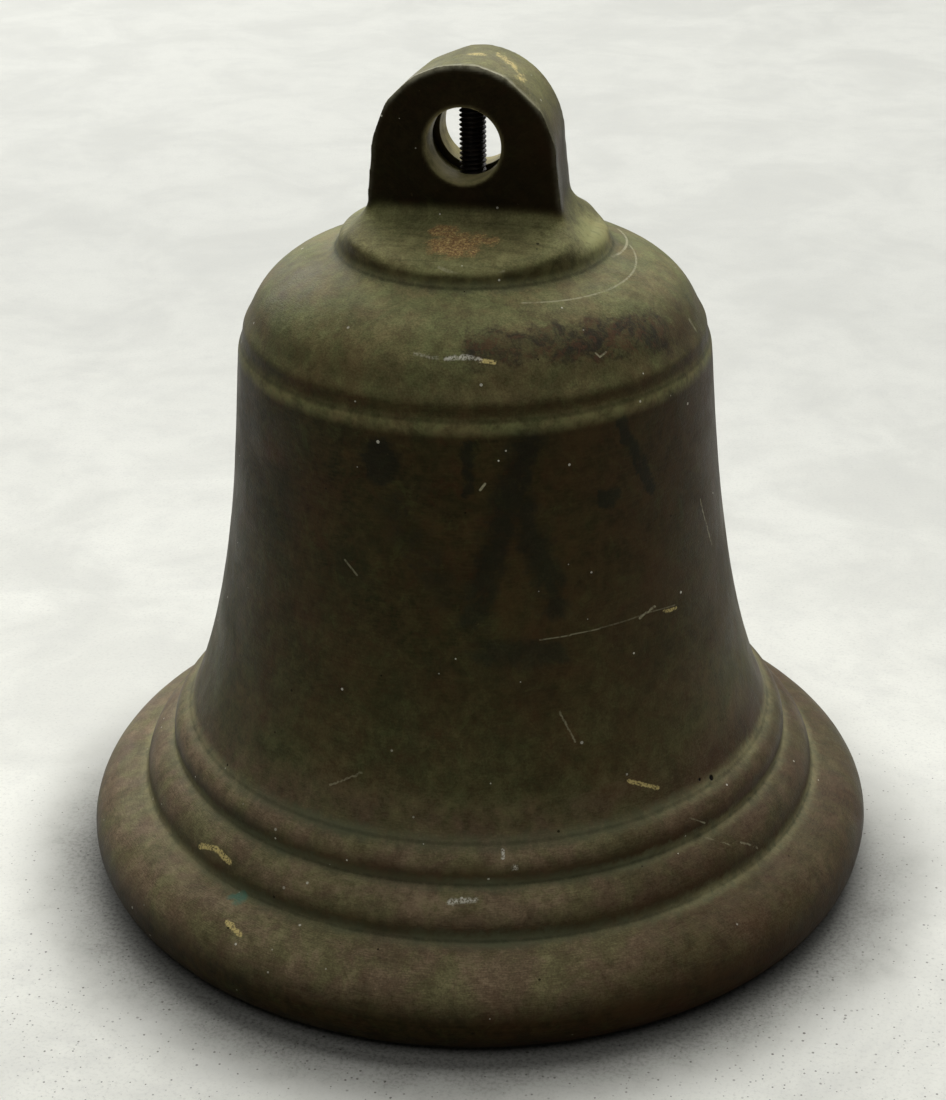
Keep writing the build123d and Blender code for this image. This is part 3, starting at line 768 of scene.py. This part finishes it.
    # painted light: the boss's shaded side made paler in place of fill light
    dust_film_and_painted_light = g.add(dust_film_and_painted_light, g.mul(g.mul(g.step(z, 202.5, 205.0, 0, 1), g.step(z, 210.0, 207.0, 0, 1)), g.step(small, 0.3, 0.7, 0.1, 0.4)))
    dust_film_and_painted_light_col = g.mix(g.step(warm, 0.35, 0.65), srgb(128, 132, 88), srgb(136, 126, 88))
    dust_film_and_painted_light_col = g.mix(g.step(z, 70.0, 56.0, 0, 0.6), dust_film_and_painted_light_col, g.mix(g.step(warm, 0.4, 0.6), srgb(136, 124, 94), srgb(144, 120, 104)))
    dust_film_and_painted_light_col = g.mix(g.step(z, 203.0, 208.0, 0, 0.6), dust_film_and_painted_light_col, srgb(150, 148, 100))
    col = g.mix(g.mul(dust_film_and_painted_light, 0.74), col, dust_film_and_painted_light_col)
    col = g.mix(g.mul(patch, g.step(mottle, 0.4, 0.58, 0.75, 0.15)), col, srgb(36, 38, 38))
    col = g.mix(g.mul(patch, g.step(g.noise(P, 0.3, 6, 0.8, 0.5), 0.48, 0.60, 0.0, 0.6)), col, srgb(88, 62, 46))

    # crevices between the mouldings, and round the boss: dust and verdigris in them, and a narrow dark line along each
    # that is painted shade
    crev = None
    crease_shade = None
    for cr, cz, w, dust in ((C1[0], C1[1], 4.6, 1.0), (C2[0], C2[1], 4.2, 1.0), (C3[0], C3[1], 4.2, 1.0), (70.6, 175.6, 2.6, 0.0),
                            (40.9, 203.4, 3.2, 0.6)):
        d = g.math("SQRT", g.add(g.math("POWER", g.math("ABSOLUTE", g.sub(r, cr)), 2.0), g.math("POWER", g.math("ABSOLUTE", g.sub(z, cz)), 2.0)))
        worn = g.add(d, g.add(g.mul(g.sub(small, 0.5), 5.0), g.mul(g.sub(fine, 0.5), 3.0)))
        m = g.mul(g.step(worn, w, 0.2, 0, 1), dust)
        crev = m if crev is None else g.mx(crev, m)
        k = g.mul(g.step(g.add(d, g.mul(g.sub(fine, 0.5), 1.0)), 1.1, 0.1, 0, 1), 0.45 if cz in (175.6, C3[1]) else 0.8)
        crease_shade = k if crease_shade is None else g.mx(crease_shade, k)
    # the crevice colour, paler towards the left and right sides
    crevice_colour = g.mix(g.mul(g.step(g.math("ABSOLUTE", x), 45.0, 95.0, 0, 1), g.step(small, 0.35, 0.65, 0.2, 1.0)), srgb(94, 97, 74), srgb(158, 152, 112))
    col = g.mix(g.mul(crev, g.step(mid, 0.3, 0.7, 0.4, 0.9)), col, crevice_colour)
    # painted shade along the line of each crevice
    col = g.mix(g.mul(crease_shade, 0.8), col, srgb(22, 25, 16))

    # wiped streaks on the boss's apron
    wipe = g.noise(g.vmath("MULTIPLY", P, (0.07, 0.9, 0.9)), 0.75, 4, 0.6, 0.2)
    apron = g.mul(g.step(z, 207.0, 209.0, 0, 1), g.step(z, 219.0, 216.0, 0, 1))
    col = g.mix(g.mul(apron, g.step(wipe, 0.52, 0.68, 0.0, 0.28)), col, srgb(46, 42, 26))
    col = g.mix(g.mul(apron, g.step(wipe, 0.44, 0.34, 0.0, 0.28)), col, srgb(136, 134, 94))

    # gritty rust on the boss
    grit = g.noise(g.vmath("ADD", P, (11, 5, 3)), 0.42, 5, 0.75, 0.4)
    rust = g.most([g.spot(ragged, (0.5, -28.0, 212.5), (13, 11, 7), 0.8), g.spot(ragged, (-4, -21.5, 215), (7, 5, 5), 0.8),
                   g.spot(ragged, (8, -24.0, 213.5), (8, 5, 4), 0.8)])
    rust = g.step(g.add(rust, g.mul(g.sub(grit, 0.5), 1.6)), 0.25, 0.85, 0, 1)
    crumb = g.noise(P, 1.3, 5, 0.8)
    rust_col = g.ramp(crumb, [(0.32, srgb(58, 46, 30)), (0.45, srgb(134, 100, 70)), (0.54, srgb(168, 138, 88)), (0.64, srgb(222, 198, 136))])
    col = g.mix(g.mul(rust, 0.85), col, rust_col)

    # rubbed and chipped places that show yellow metal
    brass = g.most([
        g.mul(g.spot(shaky, (1.4, 0.1, 260.0), (3.6, 2.4, 3)), 0.9),
        g.line(ragged, (7.6, 4.0, 258.9), (11.5, 0.5, 257.4), 2.2, 0.8),
        g.line(ragged, (11.5, 0.5, 257.4), (16.6, -5.0, 254.4), 1.9, 0.8),
        g.line(ragged, (16.6, -5.0, 254.4), (14.0, -9.0, 255.8), 1.7, 0.8),
        g.line(shaky, (-69.2, -82.7, 34.8), (-63.3, -85.9, 37.0), 1.1),
        g.line(shaky, (-63.3, -85.9, 37.0), (-57.1, -90.8, 36.0), 1.2),
        g.line(shaky, (-53.5, -106.9, 25.9), (-48.3, -110.9, 24.9), 1.1),
        g.mul(g.line(shaky, (59.1, -66.4, 63.6), (67.3, -60.7, 58.7), 0.75), 0.8),
        g.mul(g.line(shaky, (65.3, -43.1, 108.4), (68.3, -38.6, 107.6), 0.6), 0.8),
        g.line(shaky, (15.2, -61.8, 191.1), (18.6, -61.1, 190.6), 0.85),
    ])
    brass = g.mul(brass, g.step(grain, 0.36, 0.55, 0.1, 1.0))
    col = g.mix(g.mul(brass, 0.92), col, srgb(204, 186, 122))

    # pale scratches
    def arc(cx, cy, rad, mid_deg, half_deg, width):
        dx, dy = g.sub(x, cx), g.sub(y, cy)
        dist = g.math("SQRT", g.add(g.mul(dx, dx), g.mul(dy, dy)))
        m = math.radians(mid_deg)
        along = g.math("DIVIDE", g.add(g.mul(dx, math.cos(m)), g.mul(dy, math.sin(m))), g.mx(dist, 0.01))
        band = g.step(g.math("ABSOLUTE", g.sub(dist, rad)), width, width * 0.4, 0, 1)
        c = math.cos(math.radians(half_deg))
        return g.mul(g.mul(band, g.step(along, c, c + 0.02, 0, 1)), g.step(z, 196.0, 197.5, 0, 1))

    pale = g.most([
        g.mul(arc(6.4, 9.2, 37.7, 5.5, 27, 0.5), 0.75),
        g.mul(arc(10.1, -4.9, 38.9, -22, 50, 0.42), 0.65),
        g.mul(g.mul(arc(5.5, -20.2, 19.6, -84, 30, 0.5), 0.6), g.step(z, 207.6, 208.2, 0, 1)),
        g.mul(g.line(P, (33.4, -70.5, 110.3), (41.6, -66.0, 110.3), 0.28), 0.5),
        g.mul(g.line(P, (41.6, -66.0, 110.5), (49.1, -60.5, 110.3), 0.28), 0.5),
        g.mul(g.line(P, (49.1, -60.5, 110.5), (55.9, -54.4, 110.4), 0.3), 0.28),
        g.mul(g.line(P, (55.9, -54.4, 110.4), (61.8, -47.5, 110.3), 0.3), 0.3),
        g.mul(g.line(P, (61.8, -47.5, 110.3), (68.0, -38.8, 108.7), 0.3), 0.35),
        g.mul(g.line(shaky, (59.3, -50.7, 109.7), (63.0, -45.7, 111.4), 0.5), 0.7),
        g.mul(g.line(shaky, (39.6, -71.9, 88.0), (44.1, -72.0, 78.6), 0.42), 0.5),
        g.mul(g.line(P, (77.1, -60.3, 49.1), (81.3, -56.7, 45.6), 0.35), 0.6),
        g.mul(g.line(shaky, (81.6, -58.6, 41.6), (89.0, -56.4, 38.6), 0.42), 0.5),
        g.mul(g.line(shaky, (91.7, -53.2, 37.9), (96.9, -48.5, 33.3), 0.42), 0.5),
        g.mul(g.line(P, (17.8, -70.7, 158.0), (16.5, -71.1, 156.2), 0.45), 0.9),
        g.mul(g.line(P, (-23.1, -71.6, 131.0), (-19.3, -73.2, 127.3), 0.4), 0.4),
        g.mul(g.line(shaky, (-26.5, -85.0, 63.3), (-16.5, -85.6, 69.0), 0.42), 0.5),
        g.mul(g.line(shaky, (72.2, -20.0, 134.7), (75.8, -14.4, 117.4), 0.42), 0.5),
        g.mul(g.line(P, (66.0, -8.1, 186.6), (69.0, -6.1, 178.3), 0.9), 0.5),
        g.mul(g.line(P, (44.6, -46.9, 189.6), (45.7, -46.8, 188.5), 0.35), 0.8),
        g.mul(g.line(P, (45.7, -46.8, 188.5), (47.1, -44.7, 189.3), 0.35), 0.8),
    ])
    pale = g.mul(pale, g.mul(g.step(g.noise(P, 0.9, 2, 0.6), 0.3, 0.55, 0.3, 1.0), g.step(g.noise(P, 0.11, 3, 0.6), 0.36, 0.5, 0.35, 1.0)))
    col = g.mix(g.mul(pale, 0.85), col, srgb(168, 164, 134))

    # white paint smears and flecks
    white = g.most([
        g.mul(g.line(shaky, (5.5, -63.0, 191.3), (11.6, -61.8, 191.9), 1.0, 0.9), 0.8),
        g.mul(g.line(shaky, (-3.5, -62.7, 192.0), (3.0, -63.3, 191.4), 0.8, 0.9), 0.3),
        g.mul(g.line(shaky, (11.6, -61.8, 191.9), (15.0, -61.8, 191.2), 1.0, 0.9), 0.7),
        g.line(shaky, (13.3, -103.0, 39.6), (20.3, -101.3, 40.1), 1.3, 0.9),
        g.line(shaky, (26.6, -91.4, 51.6), (27.0, -93.2, 50.1), 0.6),
        g.mul(g.spot(shaky, (30.6, -93.8, 47.5), (1.2, 1.2, 1.2)), 0.7),
    ])
    white = g.mul(white, g.step(grain, 0.40, 0.56, 0.1, 1.0))
    cell = g.n("ShaderNodeTexVoronoi", feature="F1")
    g.put(cell.inputs["Vector"], P)
    cell.inputs["Scale"].default_value = 0.17
    csep = g.n("ShaderNodeSeparateColor")
    g.put(csep.inputs[0], cell.outputs["Color"])
    pick = g.step(csep.outputs[0], 0.55, 0.57, 0, 1)
    reach = g.step(g.math("POWER", csep.outputs[1], 2.0), 0.0, 1.0, 0.038, 0.088, smooth=False)
    fleck = g.mul(pick, g.math("LESS_THAN", cell.outputs["Distance"], reach))
    fleck = g.mul(fleck, g.step(csep.outputs[2], 0.0, 1.0, 0.35, 1.0, smooth=False))
    col = g.mix(g.mx(white, fleck), col, srgb(206, 203, 188))

    # black pits, and a lick of verdigris
    pit = g.most([g.spot(P, (81.3, -44.4, 53.9), (1.1, 1.1, 1.1), 0.4), g.spot(P, (78.5, -48.5, 55.5), (0.7, 0.7, 0.7), 0.4)])
    pits = g.mul(g.math("LESS_THAN", csep.outputs[0], 0.12), g.math("LESS_THAN", cell.outputs["Distance"], g.step(csep.outputs[1], 0, 1, 0.03, 0.085, smooth=False)))
    col = g.mix(g.mx(pit, g.mul(pits, 0.8)), col, srgb(10, 10, 8))
    col = g.mix(g.mul(g.spot(ragged, (-53.0, -98.1, 28.5), (3.5, 3.5, 2.5)), 0.6), col, srgb(66, 120, 104))

    # inside: rough, dull, dusty casting
    inner = g.attr("inner")
    rough_cast = g.mix(g.step(g.noise(P, 0.12, 5, 0.7), 0.35, 0.7), srgb(46, 42, 33), srgb(82, 74, 56))
    col = g.mix(inner, col, rough_cast)

    # rubbed metal in the bore
    bore = g.mul(g.attr("bore"), g.step(g.math("ABSOLUTE", y), 4.2, 5.2, 0.0, 1.0))
    bore = g.mul(bore, g.step(g.noise(P, 0.25, 4, 0.6), 0.3, 0.65, 0.35, 1.0))
    bore = g.mul(bore, g.step(y, -14.5, -13.0, 0.1, 1.0))
    col = g.mix(g.mul(bore, 0.85), col, srgb(160, 150, 108))

    # pale line on the lug's front edge, wear and painted highlight
    edge = g.mul(g.attr("edge"), g.step(g.noise(P, 0.35, 3, 0.6), 0.3, 0.6, 0.35, 1.0))
    edge = g.mul(edge, g.step(z, 244.0, 256.0, 0.12, 1.0))
    col = g.mix(g.mul(edge, 0.9), col, srgb(182, 178, 154))

    g.put(b.inputs["Base Color"], col)
    b.inputs["Metallic"].default_value = 0.0
    rough = g.step(mid, 0.3, 0.75, 0.38, 0.52)
    rough = g.add(rough, g.mul(dust_film_and_painted_light, 0.10))
    rough = g.add(rough, g.mul(g.sub(small, 0.5), 0.18))
    g.put(b.inputs["Roughness"], g.mx(rough, g.mul(inner, 0.75)))
    b.inputs["Specular IOR Level"].default_value = 0.07
    b.inputs["Specular Tint"].default_value = srgb(212, 190, 128)

    n1 = g.bump(g.noise(P, 0.09, 4, 0.55), 0.0006, 0.35)
    n2 = g.bump(g.add(g.mul(streak_fine, 0.5), streak), 0.00012, 0.5, n1)
    n3 = g.bump(g.add(g.add(grain, g.mul(fine, 0.8)), g.mul(rust, 1.5)), 0.00014, 0.7, n2)
    n4 = g.bump(g.sub(g.mul(g.noise(P, 0.35, 4, 0.7), inner), g.add(g.mul(pit, 0.6), g.mul(pale, 0.12))), 0.0009, 0.8, n3)
    g.put(b.inputs["Normal"], n4)
    return g.mat


def simple_metal(name, c0, c1, metallic, rough0, rough1, scale=0.25, bump=0.00006, spec=0.5):
    g = Nodes(name)
    b = g.bsdf
    P = g.vmath("SCALE", g.pos, scale=1000.0)
    a = g.noise(P, scale, 5, 0.62, 0.4)
    f = g.noise(P, scale * 7, 3, 0.6)
    col = g.mix(g.step(a, 0.35, 0.68), srgb(*c0), srgb(*c1))
    col = g.mix(g.step(f, 0.5, 0.75, 0, 0.4), col, srgb(*[int(c * 0.5) for c in c0]))
    g.put(b.inputs["Base Color"], col)
    b.inputs["Metallic"].default_value = metallic
    g.put(b.inputs["Roughness"], g.step(g.add(a, g.mul(f, 0.3)), 0.4, 0.95, rough0, rough1))
    b.inputs["Specular IOR Level"].default_value = spec
    g.put(b.inputs["Normal"], g.bump(g.add(f, g.mul(a, 0.6)), bump, 0.7))
    return g.mat


mat_bell = bell_patina_and_painted_light()
mat_stud = simple_metal("oiled_black_steel", (26, 24, 21), (44, 36, 29), 0.6, 0.35, 0.6, 0.5)
mat_steel = simple_metal("dull_zinc_steel", (112, 108, 100), (84, 74, 62), 0.85, 0.38, 0.62, 0.3)
mat_clapper = simple_metal("clapper_bronze", (98, 78, 50), (70, 58, 38), 0.75, 0.36, 0.6, 0.12, 0.00012)


def paint(o, mat):
    o.data.materials.clear()
    o.data.materials.append(mat)


paint(bell, mat_bell)
paint(stud, mat_stud)
for name, o in frame["nodes"].items():
    if name in ("clapper_ball", "clapper_stem", "tail_eye"):
        paint(o, mat_clapper)
    else:
        paint(o, mat_steel)

# =====================================================================
#  floor
# =====================================================================
fl = new_object("floor", [(-7, -6, 0), (7, -6, 0), (7, 9, 0), (-7, 9, 0)], [(0, 1, 2, 3)])


def floor_material():
    g = Nodes("pale_floor")
    b = g.bsdf
    P = g.vmath("SCALE", g.pos, scale=1000.0)
    fsep = g.n("ShaderNodeSeparateXYZ")
    g.put(fsep.inputs[0], P)
    cloud = g.noise(P, 0.011, 6, 0.62, 0.6)
    mott = g.noise(P, 0.045, 7, 0.7)
    grit = g.noise(P, 0.8, 4, 0.7)
    col = g.mix(g.step(cloud, 0.38, 0.66), srgb(244, 244, 234), srgb(226, 226, 217))
    col = g.mix(g.step(mott, 0.42, 0.7, 0, 0.45), col, srgb(218, 218, 211))
    col = g.mix(g.step(grit, 0.48, 0.72, 0, 0.4), col, srgb(196, 196, 188))
    near = g.step(g.math("SQRT", g.add(g.math("POWER", g.math("ABSOLUTE", g.sub(fsep.outputs[0], 20.0)), 2.0),
                                       g.math("POWER", g.math("ABSOLUTE", g.add(fsep.outputs[1], 60.0)), 2.0))), 260.0, 110.0, 0.0, 1.0)
    speck = g.n("ShaderNodeTexVoronoi", feature="F1")
    g.put(speck.inputs["Vector"], P)
    speck.inputs["Scale"].default_value = 0.62
    ssep = g.n("ShaderNodeSeparateColor")
    g.put(ssep.inputs[0], speck.outputs["Color"])
    size = g.mul(g.math("POWER", ssep.outputs[0], 2.0), g.step(g.add(near, g.mul(g.sub(mott, 0.5), 1.2)), 0.1, 1.0, 0.02, 0.27, smooth=False))
    m = g.math("LESS_THAN", speck.outputs["Distance"], size)
    col = g.mix(g.mul(m, g.step(ssep.outputs[1], 0, 1, 0.25, 0.85, smooth=False)), col, srgb(84, 78, 68))
    # painted shade: the floor darkened towards the back, against the lamps behind the bell
    col = g.mix(g.step(fsep.outputs[1], -300, 600, 0.0, 0.62), col, srgb(152, 153, 149))
    # painted contact shadow: a dark ring on the floor round the rim, stronger on the front side
    out = g.math("SQRT", g.add(g.math("POWER", g.math("ABSOLUTE", fsep.outputs[0]), 2.0), g.math("POWER", g.math("ABSOLUTE", fsep.outputs[1]), 2.0)))
    contact_shadow = g.mul(g.step(g.add(out, g.mul(g.sub(mott, 0.5), 20.0)), 162.0, 126.0, 0.0, 0.80), g.step(fsep.outputs[1], 90.0, -50.0, 0.25, 1.0))
    col = g.mix(g.mul(contact_shadow, g.step(grit, 0.25, 0.7, 1.1, 0.82)), col, srgb(50, 49, 43))
    g.put(b.inputs["Base Color"], col)
    b.inputs["Roughness"].default_value = 0.75
    b.inputs["Specular IOR Level"].default_value = 0.25
    g.put(b.inputs["Normal"], g.bump(mott, 0.0008, 0.15))
    return g.mat


paint(fl, floor_material())


# =====================================================================
#  light
# =====================================================================
def softbox(name, place, target, size, size_y, power, colour=(1, 1, 1)):
    d = bpy.data.lights.new(name, "AREA")
    d.shape = "RECTANGLE"
    d.size, d.size_y = size, size_y
    d.energy = power
    d.color = colour
    o = bpy.data.objects.new(name, d)
    bpy.context.scene.collection.objects.link(o)
    o.location = place
    o.rotation_euler = (Vector(target) - Vector(place)).to_track_quat("-Z", "Y").to_euler()
    o.visible_camera = False
    return o


softbox("overhead", (0, 0.75, 1.85), (0, 0, 0.1), 1.5, 1.3, 32)
softbox("back_left", (-1.3, 1.5, 0.9), (0, 0, 0.1), 1.2, 1.0, 17)
softbox("back_right", (1.3, 1.5, 0.9), (0, 0, 0.1), 1.2, 1.0, 7)
softbox("front_high", (0, -1.0, 2.0), (0, 0, 0.1), 1.6, 1.2, 9.0)
softbox("far_back", (0, 2.6, 1.6), (0, 0, 0.1), 2.4, 1.4, 28)
w = bpy.data.worlds.new("world")
bpy.context.scene.world = w
w.use_nodes = True
bg = w.node_tree.nodes["Background"]
bg.inputs[0].default_value = (1, 1, 1, 1)
bg.inputs[1].default_value = 0.04
bpy.context.scene.view_settings.view_transform = "Standard"

for o in list(bpy.data.objects):
    if o.type == "MESH" and o.data.users == 0:
        bpy.data.objects.remove(o)
